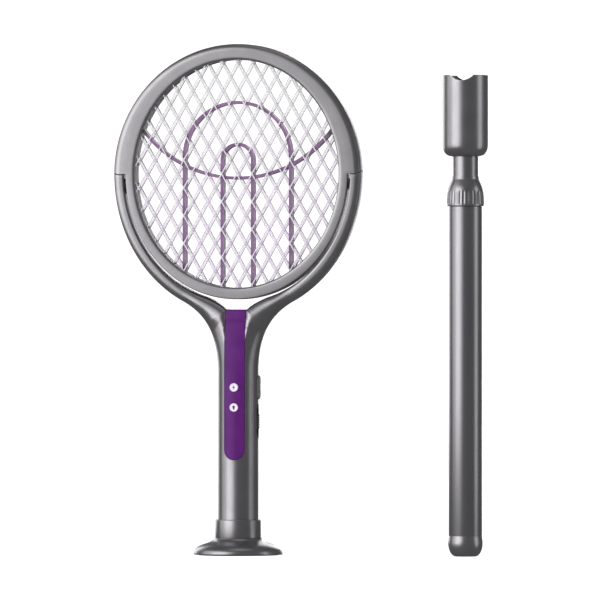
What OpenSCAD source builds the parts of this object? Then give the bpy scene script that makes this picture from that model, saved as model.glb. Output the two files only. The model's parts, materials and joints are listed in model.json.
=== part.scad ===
// Cordless electric fly swatter with a tilting oval head, a charging dock
// and a telescopic extension pole. Millimetres, +Z up, the front faces -Y.
// The origin is the centre of the dock's rubber pad, on the floor.

/* [Racket head] */
// Height of the head's centre above the floor
head_z = 343; // [340:0.5:348]
// Half-width of the oval head over its outer edge
head_half_w = 113.7; // [112:0.1:116]
// Half-height of the oval head, centre to top
head_half_h = 116.8; // [115:0.1:120]
// Half-width of the mesh opening
opening_half_w = 94; // [92:0.1:95]
// Half-height of the mesh opening
opening_half_h = 102.6; // [101:0.1:104]
// Depth of the head and of the fork arms, front to back
head_depth = 18; // [17:0.1:20]
// Half-width of the ring where the fork holds it
lower_half_w = 102.5; // [101:0.1:103]
// Half-height of the ring where the fork holds it
lower_half_h = 112.9; // [112:0.1:114]

/* [Grid] */
// Width of one diamond of the grid
mesh_pitch = 14; // [12:0.5:18]
// Height of one diamond of the grid
mesh_rise = 25; // [22:0.5:30]
// Width of a grid strand
strand_w = 1.3; // [1:0.1:2]
// Width of a wire of the live grid
live_wire_w = 0.7; // [0.5:0.1:1]
// Distance from the middle plane to the outer grids
mesh_y = 6.2; // [5:0.1:6.3]

/* [Fork and grip] */
// Radius of the grip
grip_r = 18.45; // [18:0.05:18.6]
// Wall of the moulded shells
wall = 2.2; // [1.8:0.1:2.4]
// Gap between the ring and the fork arms
fork_gap = 2.5; // [2.2:0.1:3]
// Half-height of the fork's lower outline, below the head's centre
fork_half_h = 127.8; // [127:0.1:129]
// Height of the saddle between the arms
saddle_z = 221; // [220:0.5:222]
// Lower end of the light panel
panel_z0 = 85.5; // [85:0.5:90]
// Width of the light panel
panel_w = 19; // [17:0.5:20]

/* [Controls] */
// Height of the shock button on the panel
shock_z = 151; // [148:0.5:153]
// Height of the lamp button on the panel
lamp_z = 133; // [131:0.5:135]
// Radius of the two panel buttons
button_r = 3.75; // [3:0.05:4]
// Height of the side trigger's centre
trigger_z = 151; // [150:0.5:152]
// Height of the mode slider's centre
slider_z = 120.5; // [119:0.5:121]

/* [Dock] */
// Radius of the dock's foot
dock_r = 40.3; // [39:0.1:43]
// Height of the dock's collar
dock_h = 32; // [30:0.5:34]
// Outer radius of the collar
collar_r = 20.7; // [20.5:0.05:21.5]

/* [Extension pole] */
// Distance from the dock's axis to the pole's axis
pole_x = 208.5; // [180:0.5:240]
// Height of the retracted pole
pole_h = 430.7; // [425:0.1:435]
// Radius of the outer tube
outer_tube_r = 15; // [14.8:0.1:15.2]
// Radius of the inner tube
inner_tube_r = 11.5; // [11.3:0.1:11.5]
// Outer radius of the cup that takes the grip
cup_r = 20.5; // [20.4:0.05:21]

/* [Hidden] */
$fn = 64;

half_depth = head_depth / 2;
arm_half_w = lower_half_w + fork_gap;
arm_half_h = lower_half_h + fork_gap;
oval_steps = 64;
far = 300;

// The head tilts about this axis. The arm tips are arcs about it, and the
// ring's underside above them is the same arc with a running gap.
tip_r = 13.5;
tip_gap = 0.5;
pivot_drop = sqrt(pow(tip_r + tip_gap, 2) - pow(half_depth, 2));
pivot_z = head_z - pivot_drop;
pin_r = 3;
pin_x0 = 96.4;
pin_x1 = 110.6;
bush_x0 = 103.1;
bush_x1 = 107;
bush_flange_r = 7;

// The neck between the fork's oval and the round grip, from the bottom up.
neck_rise = 113.4;
neck_top_w = head_half_w * sqrt(1 - pow(neck_rise / fork_half_h, 2));
neck_z0 = head_z - 178;
neck_z1 = head_z - neck_rise;
grip_z0 = 16;
cavity_r = grip_r - wall;

socket_floor_z = 13;
running_gap = 0.3;
cap_z0 = socket_floor_z + 0.4;

boss_r = 2.6;
low_boss = [12.4, 98];
high_boss = [15, 190];
screw_seat_y = 8;
board_y = 2;
light_board_y = -9.4;

// Curves and outlines.

function bezier(p0, p1, p2, p3, steps) =
    [for (i = [0 : steps]) let (t = i / steps, s = 1 - t)
        s * s * s * p0 + 3 * s * s * t * p1 + 3 * s * t * t * p2 + t * t * t * p3];

function reversed(list) = [for (i = [len(list) - 1 : -1 : 0]) list[i]];

// Half-width of the neck against height, as [radius, z] from the grip up.
function neck_curve(inset) =
    let (slope = 30, reach = 20)
    bezier([grip_r - inset, neck_z0], [grip_r - inset, neck_z0 + 40],
           [neck_top_w + 0.3 - inset - reach * cos(slope), neck_z1 - reach * sin(slope)],
           [neck_top_w + 0.3 - inset, neck_z1], 14);

// Half-depth of the neck against height, as [y, z] from the grip up.
function depth_curve(inset) =
    bezier([grip_r - inset + 0.8, head_z - 174], [grip_r - inset + 0.8, head_z - 142],
           [half_depth - inset, head_z - 130], [half_depth - inset, head_z - 106], 12);

module oval(a, b) {
    polygon([for (i = [0 : oval_steps - 1]) let (t = 360 * i / oval_steps) [a * cos(t), b * sin(t)]]);
}

// Extrudes an XZ outline between two planes across Y.
module slab(y0, y1) {
    translate([0, y1, 0]) rotate([90, 0, 0]) linear_extrude(y1 - y0) children();
}

module head_slab(y0, y1) {
    translate([0, 0, head_z]) slab(y0, y1) children();
}

// A cylinder along X from x0 to x1.
module x_rod(x0, x1, r) {
    translate([x0, 0, 0]) rotate([0, 90, 0]) cylinder(r = r, h = x1 - x0);
}

// A cylinder along Y from y0 to y1.
module y_rod(y0, y1, r) {
    translate([0, y1, 0]) rotate([90, 0, 0]) cylinder(r = r, h = y1 - y0);
}

module block(x0, x1, y0, y1, z0, z1) {
    translate([x0, y0, z0]) cube([x1 - x0, y1 - y0, z1 - z0]);
}

module both_sides() {
    children();
    mirror([1, 0, 0]) children();
}

module front_half() {
    intersection() {
        children();
        block(-far, far, -far, 0, -1, 2 * far);
    }
}

module back_half() {
    intersection() {
        children();
        block(-far, far, 0, far, -1, 2 * far);
    }
}

// Round-ended bar along Z, extruded along X.
module x_stadium(x0, x1, r, z0, z1) {
    translate([0, 0, z0 + r]) x_rod(x0, x1, r);
    translate([0, 0, z1 - r]) x_rod(x0, x1, r);
    block(x0, x1, -r, r, z0 + r, z1 - r);
}

// A round tube swept along points, closed at both ends.
module swept_tube(path, r, sides = 8) {
    n = len(path);
    rings = [for (i = [0 : n - 1])
        let (a = path[max(i - 1, 0)], b = path[min(i + 1, n - 1)], d = (b - a) / norm(b - a),
             u = [d.z, 0, -d.x] / norm([d.z, 0, -d.x]), v = cross(d, u))
        for (k = [0 : sides - 1]) let (t = 360 * k / sides) path[i] + r * (cos(t) * u + sin(t) * v)];
    walls = [for (i = [0 : n - 2]) for (k = [0 : sides - 1]) let (m = (k + 1) % sides)
        each [[i * sides + k, i * sides + m, (i + 1) * sides + m],
              [i * sides + k, (i + 1) * sides + m, (i + 1) * sides + k]]];
    caps = [[for (k = [0 : sides - 1]) sides - 1 - k],
            [for (k = [0 : sides - 1]) (n - 1) * sides + k]];
    polyhedron(rings, [for (f = concat(walls, caps)) reversed(f)]);
}

// Dock.

collar_z0 = 15.5;
pad_h = 1.2;
plate_z1 = 3.2;
shell_rim_z = 0.5;

// Outer flare of the dock as [radius, z] from the rim to the collar.
function flare_curve() =
    bezier([dock_r, 1.5], [dock_r - 0.8, 11], [collar_r + 3, 9.5], [collar_r + 0.9, collar_z0 - 0.1], 12);

module dock_pad() {
    color([0.1, 0.1, 0.11]) cylinder(r = dock_r - 4.3, h = pad_h);
}

module dock_screw_places(r = 28) {
    for (a = [30, 150, 270]) rotate(a) translate([r, 0, 0]) children();
}

module dock_base_plate() {
    color([0.2, 0.2, 0.21]) difference() {
        translate([0, 0, pad_h]) cylinder(r = dock_r - 2.7, h = plate_z1 - pad_h);
        dock_screw_places() {
            translate([0, 0, pad_h - 1]) cylinder(r = 2.4, h = 2);
            translate([0, 0, pad_h]) cylinder(r = 1.3, h = 4);
        }
    }
}

module dock_shell() {
    color([0.5, 0.49, 0.5]) difference() {
        rotate_extrude($fn = 128) polygon(concat(
            [[0, shell_rim_z], [dock_r, shell_rim_z]], flare_curve(), [[0, collar_z0 - 0.1]]));
        translate([0, 0, socket_floor_z]) cylinder(r = grip_r + running_gap, h = dock_h);
        rotate_extrude($fn = 128) polygon(concat(
            [[0, 0], [dock_r - 2.4, 0]],
            [for (p = flare_curve()) if (p.y < 11) [p.x - 2.3, p.y - 0.4]],
            [[19, socket_floor_z - 2], [0, socket_floor_z - 2]]));
        for (x = [-5, 5]) translate([x, 0, 0]) cylinder(r = 1.3, h = dock_h / 2);
        block(-4.8, 4.8, dock_r - 8, dock_r + 1, 3.3, 6.7);
    }
    color([0.5, 0.49, 0.5]) dock_screw_places() difference() {
        translate([0, 0, plate_z1]) cylinder(r = 2.6, h = 6);
        translate([0, 0, plate_z1 - 1]) cylinder(r = 1.2, h = 6);
    }
}

module dock_collar() {
    color([0.5, 0.49, 0.5]) difference() {
        rotate_extrude($fn = 128) polygon([
            [0, collar_z0 - 0.1], [collar_r, collar_z0 - 0.1], [collar_r, dock_h - 0.6],
            [collar_r - 0.6, dock_h], [0, dock_h]]);
        cylinder(r = grip_r + running_gap, h = dock_h + 1);
    }
}

module dock_weight() {
    color([0.45, 0.45, 0.46]) difference() {
        translate([0, 0, plate_z1]) cylinder(r = 33, h = 3);
        translate([0, 0, plate_z1 - 1]) cylinder(r = 16, h = 5);
        dock_screw_places() cylinder(r = 3, h = 20);
        block(-6, 6, 0, 40, 0, 20);
    }
}

module dock_charge_board() {
    color([0.05, 0.3, 0.15]) union() {
        difference() {
            block(-13, 13, -9, 9, 7, 8.6);
            for (x = [-5, 5]) translate([x, 0, 6]) cylinder(r = 0.9, h = 4);
        }
        block(-3, 3, 9, 29, 7, 8.6);
    }
}

module dock_contact_pins() {
    color([0.85, 0.7, 0.3]) for (x = [-5, 5]) translate([x, 0, 0]) {
        translate([0, 0, 6.4]) cylinder(r = 0.85, h = 4);
        translate([0, 0, 8.7]) cylinder(r = 1.1, h = 3);
        translate([0, 0, 11.6]) cylinder(r = 0.8, h = 1.9);
    }
}

module usb_c_inlet() {
    color([0.75, 0.75, 0.76]) difference() {
        union() {
            block(-2.9, 2.9, 30.6, 38.2, 3.4, 6.6);
            for (s = [-1, 1]) translate([s * 2.9, 0, 5]) y_rod(30.6, 38.2, 1.6);
        }
        block(-2.9, 2.9, 32, 39, 3.8, 6.2);
        for (s = [-1, 1]) translate([s * 2.9, 0, 5]) y_rod(32, 39, 1.2);
    }
    color([0.1, 0.1, 0.1]) block(-3, 3, 32, 37.4, 4.65, 5.35);
}

module dock_screws() {
    color([0.7, 0.7, 0.71]) dock_screw_places() {
        translate([0, 0, pad_h + 0.1]) cylinder(r = 2.2, h = 0.85);
        translate([0, 0, pad_h + 0.9]) cylinder(r = 1.15, h = 5.6);
    }
}

// Handle: grip, neck and fork.

module side_profile(inset) {
    half = concat([[grip_r - inset + 0.8, neck_z0 - 5]], depth_curve(inset), [[half_depth - inset, head_z]]);
    rotate([90, 0, 90]) translate([0, 0, -far]) linear_extrude(2 * far)
        polygon(concat(half, [for (p = reversed(half)) [-p.x, p.y]]));
}

module neck(inset) {
    intersection() {
        rotate_extrude($fn = 96) polygon(concat([[0, neck_z0]], neck_curve(inset), [[0, neck_z1]]));
        side_profile(inset);
    }
}

// The two arms up to a height, as one oval band still joined below.
module arms(inset, top) {
    head_slab(inset - half_depth, half_depth - inset) intersection() {
        oval(head_half_w - inset, fork_half_h - inset);
        translate([-far, -neck_rise]) square([2 * far, neck_rise + top]);
    }
}

// The room that the ring needs between the arms, with the saddle below it.
module ring_room(extra) {
    low = saddle_z - head_z - extra;
    head_slab(-far / 4, far / 4) {
        oval(arm_half_w + extra, arm_half_h + extra);
        polygon([[-21 - extra, -arm_half_h + 4], [-20.5 - extra, -arm_half_h + 1], [-9.5, low],
                 [9.5, low], [20.5 + extra, -arm_half_h + 1], [21 + extra, -arm_half_h + 4]]);
    }
}

module racket_body() {
    difference() {
        union() {
            translate([0, 0, grip_z0]) cylinder(r = grip_r, h = neck_z0 - grip_z0, $fn = 96);
            neck(0);
            arms(0, -pivot_drop);
            intersection() {
                head_slab(-half_depth, half_depth)
                    translate([-head_half_w, -pivot_drop - 3]) square([2 * head_half_w, pivot_drop + 7]);
                translate([0, 0, pivot_z]) x_rod(-far, far, tip_r);
            }
        }
        ring_room(0);
    }
}

module racket_cavity() {
    difference() {
        union() {
            translate([0, 0, grip_z0 - 1]) cylinder(r = cavity_r, h = neck_z0 - grip_z0 + 1, $fn = 96);
            neck(wall);
            arms(wall, -pivot_drop - 12);
        }
        ring_room(wall);
    }
}

module boss_places() {
    both_sides() translate([low_boss.x, 0, low_boss.y]) children();
    both_sides() translate([high_boss.x, 0, high_boss.y]) children();
}

module panel_outline(r) {
    translate([0, panel_z0 + panel_w / 2]) circle(r = r);
    translate([-r, panel_z0 + panel_w / 2]) square([2 * r, saddle_z - panel_z0 - panel_w / 2]);
}

module pivot_holes() {
    both_sides() translate([0, 0, pivot_z]) {
        x_rod(100, bush_x0 + 1.6, bush_flange_r + 0.2);
        x_rod(100, bush_x1, 5);
        block(bush_x1 - 0.1, pin_x1 + 0.5, -6, 6, -8, 5);
    }
}

module control_holes() {
    x_stadium(10, 30, 4.8, trigger_z - 11.3, trigger_z + 11.3);
    x_stadium(10, 30, 4.9, slider_z - 16, slider_z + 16);
}

module handle_shell() {
    difference() {
        union() {
            difference() {
                racket_body();
                racket_cavity();
            }
            intersection() {
                boss_places() y_rod(-far, far, boss_r);
                racket_body();
            }
        }
        pivot_holes();
        control_holes();
        boss_places() {
            y_rod(-6.2, 30, 1.3);
            y_rod(screw_seat_y - 1.6, 30, 2.5);
        }
    }
}

module handle_front_shell() {
    color([0.46, 0.45, 0.47]) difference() {
        front_half() handle_shell();
        slab(-40, -12) panel_outline(panel_w / 2);
    }
}

module handle_back_shell() {
    color([0.46, 0.45, 0.47]) back_half() handle_shell();
}

module end_cap() {
    color([0.3, 0.3, 0.31]) difference() {
        union() {
            translate([0, 0, cap_z0]) cylinder(r1 = grip_r - 0.8, r2 = grip_r, h = 0.8);
            translate([0, 0, cap_z0 + 0.8]) cylinder(r = grip_r, h = grip_z0 - cap_z0 - 0.8);
            translate([0, 0, grip_z0]) cylinder(r = cavity_r, h = 2.2);
        }
        for (x = [-5, 5]) translate([x, 0, 0]) {
            cylinder(r = 2.6, h = cap_z0 + 1);
            cylinder(r = 1.1, h = 40);
        }
    }
}

module charge_contacts() {
    color([0.85, 0.7, 0.3]) for (x = [-5, 5]) translate([x, 0, 0]) {
        translate([0, 0, cap_z0 + 0.3]) cylinder(r = 2.5, h = 0.7);
        translate([0, 0, cap_z0 + 0.9]) cylinder(r = 1, h = 5.2);
    }
}

module light_panel() {
    color([0.35, 0.15, 0.42]) difference() {
        intersection() {
            union() {
                translate([0, 0, panel_z0]) cylinder(r = grip_r - 0.1, h = neck_z0 - panel_z0, $fn = 96);
                neck(0.1);
            }
            slab(-40, -12.05) panel_outline(panel_w / 2 - 0.15);
        }
        translate([0, 0, panel_z0 - 1]) cylinder(r = cavity_r, h = neck_z0 - panel_z0 + 1, $fn = 96);
        neck(wall);
        for (z = [shock_z, lamp_z]) translate([0, 0, z]) y_rod(-30, 0, button_r + running_gap);
        ring_room(0);
    }
}

module light_board() {
    color([0.9, 0.9, 0.88]) difference() {
        block(-6.5, 6.5, light_board_y, light_board_y + 1.2, 100, 198);
        for (z = [shock_z, lamp_z]) translate([0, 0, z]) y_rod(-20, 0, 3);
    }
}

module panel_leds() {
    color([0.85, 0.8, 0.95]) for (z = [106 : 10 : 194])
        if (abs(z - shock_z) > 4.6 && abs(z - lamp_z) > 4.6)
            block(-1.6, 1.6, light_board_y - 1, light_board_y, z - 1.6, z + 1.6);
}

module main_board() {
    color([0.05, 0.32, 0.16]) block(-12.6, 10.8, board_y, board_y + 1.6, 104, 183);
}

module hv_transformer() {
    color([0.75, 0.6, 0.2]) union() {
        block(-7.5, 7.5, board_y + 1.6, board_y + 10.4, 108, 124);
        block(-5.5, 5.5, board_y + 1.6, board_y + 11.6, 110.5, 121.5);
    }
}

module hv_capacitor() {
    color([0.12, 0.2, 0.5]) translate([0, board_y + 6.8, 0]) {
        translate([0, 0, 130]) cylinder(r = 5, h = 22);
        for (x = [-2, 2]) {
            translate([x, -4, 128.9]) cylinder(r = 0.4, h = 1.3);
            translate([x, 0, 129.2]) y_rod(-5.2, -4, 0.4);
        }
    }
}

module battery_cell() {
    color([0.2, 0.45, 0.55]) translate([0, 0, 22]) {
        cylinder(r = 9.2, h = 64.4);
        translate([0, 0, 64.3]) cylinder(r = 3, h = 0.8);
    }
}

module battery_contacts() {
    color([0.8, 0.8, 0.78]) {
        block(-5, 5, -5, 5, 87.15, 87.85);
        block(-6, 6, -5, 5, 19.6, 20.2);
        for (k = [0 : 2]) translate([0, 0, 20.2 + 0.6 * k]) difference() {
            cylinder(r = 4.5 - 0.8 * k, h = 0.6);
            translate([0, 0, -1]) cylinder(r = 3 - 0.8 * k, h = 3);
        }
    }
}

module control_switches() {
    color([0.15, 0.15, 0.16]) {
        for (z = [shock_z, lamp_z]) {
            block(-3, 3, board_y - 3.2, board_y, z - 3, z + 3);
            translate([0, 0, z]) y_rod(board_y - 4.2, board_y - 3.2, 1.6);
        }
        block(5.4, 10.4, board_y - 5.6, board_y, trigger_z - 3.5, trigger_z + 3.5);
        translate([0, board_y - 2.4, trigger_z]) x_rod(10.4, 11.3, 1.4);
        block(4.5, 10.2, board_y - 5, board_y, slider_z - 8, slider_z + 8);
    }
}

module slider_frame() {
    color([0.08, 0.08, 0.09]) difference() {
        intersection() {
            x_stadium(10, 30, 4.7, slider_z - 15.8, slider_z + 15.8);
            cylinder(r = grip_r - 0.1, h = 2 * slider_z);
        }
        cylinder(r = cavity_r + 0.2, h = 2 * slider_z);
        x_stadium(10, 30, 3.4, slider_z - 12.6, slider_z + 12.6);
    }
}

function lead_path() = concat(
    [for (p = bezier([6, head_z - 158], [6, head_z - 145], [22, head_z - 126], [38, head_z - 116], 6))
        [p.x, 0.4, p.y]],
    [for (a = [-64 : 6 : -16]) [109.3 * cos(a), 0.4, head_z + 121.4 * sin(a)]]);

module hv_leads() {
    color([0.75, 0.1, 0.1]) both_sides() swept_tube(lead_path(), 0.9);
}

module handle_screws() {
    color([0.72, 0.72, 0.73]) boss_places() {
        y_rod(-6, screw_seat_y - 1.5, 1.25);
        difference() {
            y_rod(screw_seat_y - 1.6, screw_seat_y, 2.4);
            y_rod(screw_seat_y - 0.8, screw_seat_y + 1, 1);
        }
    }
}

module pivot_bushes() {
    color([0.12, 0.12, 0.13]) both_sides() translate([0, 0, pivot_z]) difference() {
        union() {
            x_rod(bush_x0, bush_x0 + 1.5, bush_flange_r);
            x_rod(bush_x0, bush_x1 - 0.1, 4.95);
        }
        x_rod(bush_x0 - 1, bush_x1 + 1, pin_r + 0.06);
    }
}

module detent_springs() {
    color([0.75, 0.75, 0.76]) both_sides() translate([0, 0, pivot_z])
        block(bush_x1 + 0.3, pin_x1, -5.8, 5.8, -pin_r - 0.9, -pin_r - 0.3);
}

// Controls that travel.

module panel_button(z) {
    translate([0, 0, z]) {
        y_rod(-19.1, -16.6, button_r);
        y_rod(-16.7, board_y - 4.8, 2);
        y_rod(-15.1, -14.3, 5.2);
    }
}

module shock_button() {
    color([0.9, 0.87, 0.95]) panel_button(shock_z);
}

module lamp_button() {
    color([0.9, 0.87, 0.95]) panel_button(lamp_z);
}

module side_trigger() {
    color([0.22, 0.22, 0.23]) {
        intersection() {
            x_stadium(13, 20.2, 4.45, trigger_z - 10.9, trigger_z + 10.9);
            translate([-0.5, 0, 0]) cylinder(r = 20.5, h = 2 * trigger_z, $fn = 96);
        }
        x_stadium(13, 14.6, 5.6, trigger_z - 12.2, trigger_z + 12.2);
    }
}

module mode_slider() {
    color([0.3, 0.3, 0.31]) {
        intersection() {
            x_stadium(11, 21, 3.05, slider_z - 7, slider_z + 7);
            difference() {
                cylinder(r = 19.1, h = 2 * slider_z, $fn = 96);
                for (k = [-2 : 2]) block(18.5, 25, -6, 6, slider_z + 2 * k - 0.4, slider_z + 2 * k + 0.4);
            }
        }
        x_stadium(12.5, 15, 4.4, slider_z - 9, slider_z + 9);
    }
}

// Head: ring, grids and pivot pins.

module ring_outline(a_in, b_in, inset) {
    difference() {
        union() {
            intersection() {
                oval(head_half_w - inset, head_half_h - inset);
                translate([-far, 0]) square([2 * far, far]);
            }
            oval(lower_half_w - inset, lower_half_h - inset);
        }
        oval(a_in, b_in);
    }
}

seat = 2;
cell_y = 0.6;

function rim_place(a, b, t) = [a * cos(t), 0, head_z + b * sin(t)];

module ring_screw_places() {
    for (t = [24, 57, 90, 123, 156]) translate(rim_place(104.4, 110.4, t)) children();
    for (t = [-36, -63, -90, -117, -144]) translate(rim_place(99.2, 108.8, t)) children();
}

module ring_shell() {
    difference() {
        head_slab(-half_depth, half_depth) ring_outline(opening_half_w, opening_half_h, 0);
        // Seat that the grids and their rib frames drop into.
        head_slab(-mesh_y - cell_y, mesh_y + cell_y) oval(opening_half_w + seat, opening_half_h + seat);
        // Hollow of the upper part.
        head_slab(wall - half_depth, half_depth - wall) difference() {
            oval(head_half_w - wall, head_half_h - wall);
            oval(opening_half_w + seat + wall, opening_half_h + seat + wall);
            translate([-far, -far]) square([2 * far, far + 6]);
        }
        // Arc that clears the arm tips.
        translate([0, 0, pivot_z]) both_sides() x_rod(lower_half_w, far, tip_r + tip_gap);
        translate([0, 0, pivot_z]) both_sides() x_rod(pin_x0 - 0.2, far, pin_r + 0.02);
        translate([0, 0, pivot_z]) both_sides() block(90, pin_x0 - 0.1, -4.2, 4.2, -3.2, 3.2);
    }
}

module ring_frame() {
    difference() {
        union() {
            ring_shell();
            intersection() {
                ring_screw_places() y_rod(-half_depth, half_depth, 3.2);
                head_slab(-half_depth, half_depth)
                    ring_outline(opening_half_w + seat, opening_half_h + seat, 0.4);
            }
        }
        ring_screw_places() {
            y_rod(-6, 20, 1.15);
            y_rod(half_depth - 2.5, 20, 2.3);
        }
    }
}

module ring_front_frame() {
    color([0.46, 0.45, 0.47]) front_half() ring_frame();
}

module ring_back_frame() {
    color([0.46, 0.45, 0.47]) back_half() ring_frame();
}

module grid(y, width) {
    angle = atan2(mesh_rise, mesh_pitch);
    count = ceil((opening_half_w + opening_half_h / tan(angle)) / mesh_pitch);
    head_slab(y - 0.5, y + 0.5) {
        difference() {
            oval(opening_half_w + seat - 0.1, opening_half_h + seat - 0.1);
            oval(opening_half_w + 0.2, opening_half_h + 0.2);
        }
        intersection() {
            oval(opening_half_w + 1, opening_half_h + 1);
            for (side = [-1, 1]) for (k = [-count : count])
                translate([k * mesh_pitch, 0]) rotate(side * angle)
                    translate([-130, -width / 2]) square([260, width]);
        }
    }
}

module front_mesh() {
    color([0.8, 0.8, 0.82]) grid(-mesh_y, strand_w);
}

module hv_mesh() {
    color([0.7, 0.7, 0.72]) grid(0, live_wire_w);
}

module back_mesh() {
    color([0.8, 0.8, 0.82]) grid(mesh_y, strand_w);
}

rib_w = 2.8;
outer_u_r = 49;
outer_u_z = 15.2;
inner_u_r = 14;
inner_u_z = 12.5;
smile_r = 109;
smile_z = 105.2;

module circle_band(r) {
    difference() {
        circle(r = r + rib_w / 2, $fn = 128);
        circle(r = r - rib_w / 2, $fn = 128);
    }
}

module upside_down_u(r, z) {
    translate([0, z]) intersection() {
        circle_band(r);
        translate([-far, 0]) square([2 * far, far]);
    }
    for (s = [-1, 1]) translate([s * r - rib_w / 2, -far / 2]) square([rib_w, far / 2 + z]);
}

module rib_frame(y0, y1, rib_y0, rib_y1) {
    head_slab(y0, y1) difference() {
        oval(opening_half_w + seat - 0.1, opening_half_h + seat - 0.1);
        oval(opening_half_w, opening_half_h);
    }
    head_slab(rib_y0, rib_y1) intersection() {
        oval(opening_half_w + 0.5, opening_half_h + 0.5);
        union() {
            upside_down_u(outer_u_r, outer_u_z);
            upside_down_u(inner_u_r, inner_u_z);
            intersection() {
                translate([0, smile_z]) circle_band(smile_r);
                translate([-far, -far]) square([2 * far, far + smile_z]);
            }
        }
    }
}

module front_rib_frame() {
    color([0.2, 0.1, 0.24]) rib_frame(-mesh_y + cell_y, -cell_y, -mesh_y + 1.3, -cell_y);
}

module back_rib_frame() {
    color([0.2, 0.1, 0.24]) rib_frame(cell_y, mesh_y - cell_y, cell_y, mesh_y - 1.3);
}

module pivot_pins() {
    color([0.78, 0.78, 0.8]) both_sides() translate([0, 0, pivot_z]) x_rod(pin_x0, pin_x1, pin_r);
}

module contact_tabs() {
    color([0.85, 0.65, 0.3]) both_sides() translate([0, 0, pivot_z])
        block(pin_x0 - 0.4, pin_x0 - 0.1, -4, 4, -3, 3);
}

module ring_screws() {
    color([0.72, 0.72, 0.73]) ring_screw_places() {
        y_rod(-5.8, half_depth - 2.4, 1.1);
        difference() {
            y_rod(half_depth - 2.5, half_depth - 1.2, 2.2);
            y_rod(half_depth - 1.8, half_depth, 0.9);
        }
    }
}

// Extension pole.

tube_bottom = 18.5;
thread_r = 14.2;
tube_bore_r = 13.2;
nut_z0 = 313.5;
nut_z1 = 340;
tube_top = 326;
cup_z0 = 358;
cup_floor_z = 370.5;

module pole() {
    translate([pole_x, 0, 0]) children();
}

module outer_tube() {
    color([0.46, 0.45, 0.47]) pole() difference() {
        union() {
            translate([0, 0, tube_bottom]) cylinder(r = outer_tube_r, h = nut_z0 - tube_bottom - 0.4);
            translate([0, 0, nut_z0 - 1]) cylinder(r = thread_r, h = tube_top - nut_z0 + 1);
        }
        cylinder(r = tube_bore_r, h = pole_h);
    }
}

module pole_foot() {
    color([0.46, 0.45, 0.47]) pole() rotate_extrude() polygon(concat(
        [[0, 0]],
        bezier([9, 0], [13, 0.4], [15.4, 6], [15.6, 13], 8),
        [[15.6, tube_bottom - 1], [15.2, tube_bottom - 0.1], [tube_bore_r - 0.05, tube_bottom - 0.1],
         [tube_bore_r - 0.05, 30], [0, 30]]));
}

module lock_nut() {
    color([0.42, 0.41, 0.43]) pole() difference() {
        rotate_extrude() polygon(concat(
            [[thread_r + 0.35, nut_z0], [16.75, nut_z0], [16.75, 319.5], [16.1, 327]],
            bezier([15.9, 328.5], [15, 335.5], [12.6, 336.5], [11.9, nut_z1 - 0.5], 6),
            [[11.85, nut_z1], [inner_tube_r + 0.33, nut_z1], [inner_tube_r + 0.33, 335.4],
             [thread_r + 0.35, 330.5]]));
        for (a = [0 : 15 : 345]) rotate(a) translate([17.35, 0, nut_z0 + 1.4]) cylinder(r = 1.1, h = 13);
    }
}

module lock_collet() {
    color([0.12, 0.12, 0.13]) pole() difference() {
        rotate_extrude() polygon([
            [inner_tube_r + 0.05, 300.5], [tube_bore_r - 0.1, 300.5], [tube_bore_r - 0.1, tube_top + 0.3],
            [thread_r - 0.2, tube_top + 0.3], [thread_r - 0.2, 329.5], [12.1, 334.4],
            [inner_tube_r + 0.05, 334.4]]);
        for (a = [0, 90]) rotate(a) block(-20, 20, -0.6, 0.6, 312, 340);
    }
}

module inner_tube() {
    color([0.5, 0.49, 0.51]) pole() difference() {
        translate([0, 0, 40]) cylinder(r = inner_tube_r, h = 326);
        translate([0, 0, 39]) cylinder(r = inner_tube_r - 1.3, h = 330);
        translate([0, 0, 362]) x_rod(-30, 30, 1.5);
    }
}

module tube_guide() {
    color([0.85, 0.85, 0.83]) pole() difference() {
        translate([0, 0, 42]) cylinder(r = tube_bore_r - 0.3, h = 16);
        translate([0, 0, 41]) cylinder(r = inner_tube_r, h = 18);
    }
}

module cup() {
    color([0.46, 0.45, 0.47]) pole() difference() {
        rotate_extrude($fn = 96) polygon(concat(
            [[0, cup_z0]],
            bezier([12.4, cup_z0], [17.6, cup_z0 + 0.6], [cup_r, cup_z0 + 4], [cup_r, 369.5], 8),
            [[cup_r, pole_h], [0, pole_h]]));
        translate([0, 0, cup_floor_z]) cylinder(r = grip_r + running_gap, h = pole_h, $fn = 96);
        translate([0, 0, cup_z0 - 1]) cylinder(r = inner_tube_r, h = 9);
        translate([0, 0, pole_h + 9.6]) y_rod(-40, 40, 14.6);
        translate([0, 0, 362]) x_rod(-30, 30, 1.5);
    }
}

module cup_pin() {
    color([0.75, 0.75, 0.76]) pole() translate([0, 0, 362]) x_rod(-15.5, 15.5, 1.48);
}

dock_pad();
dock_base_plate();
dock_shell();
dock_collar();
dock_weight();
dock_charge_board();
dock_contact_pins();
usb_c_inlet();
dock_screws();
handle_front_shell();
handle_back_shell();
end_cap();
charge_contacts();
light_panel();
light_board();
panel_leds();
main_board();
hv_transformer();
hv_capacitor();
battery_cell();
battery_contacts();
control_switches();
slider_frame();
hv_leads();
handle_screws();
pivot_bushes();
detent_springs();
shock_button();
lamp_button();
side_trigger();
mode_slider();
ring_front_frame();
ring_back_frame();
front_mesh();
hv_mesh();
back_mesh();
front_rib_frame();
back_rib_frame();
pivot_pins();
contact_tabs();
ring_screws();
outer_tube();
pole_foot();
lock_nut();
lock_collet();
inner_tube();
tube_guide();
cup();
cup_pin();
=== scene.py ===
"""Electric fly swatter in its charging dock, with its telescopic extension pole beside it.

Lengths are in millimetres until a mesh is made. Heights in the head are counted from its centre.
"""

import json
import math

import bmesh
import bpy
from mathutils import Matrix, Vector
from mathutils.bvhtree import BVHTree


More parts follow.
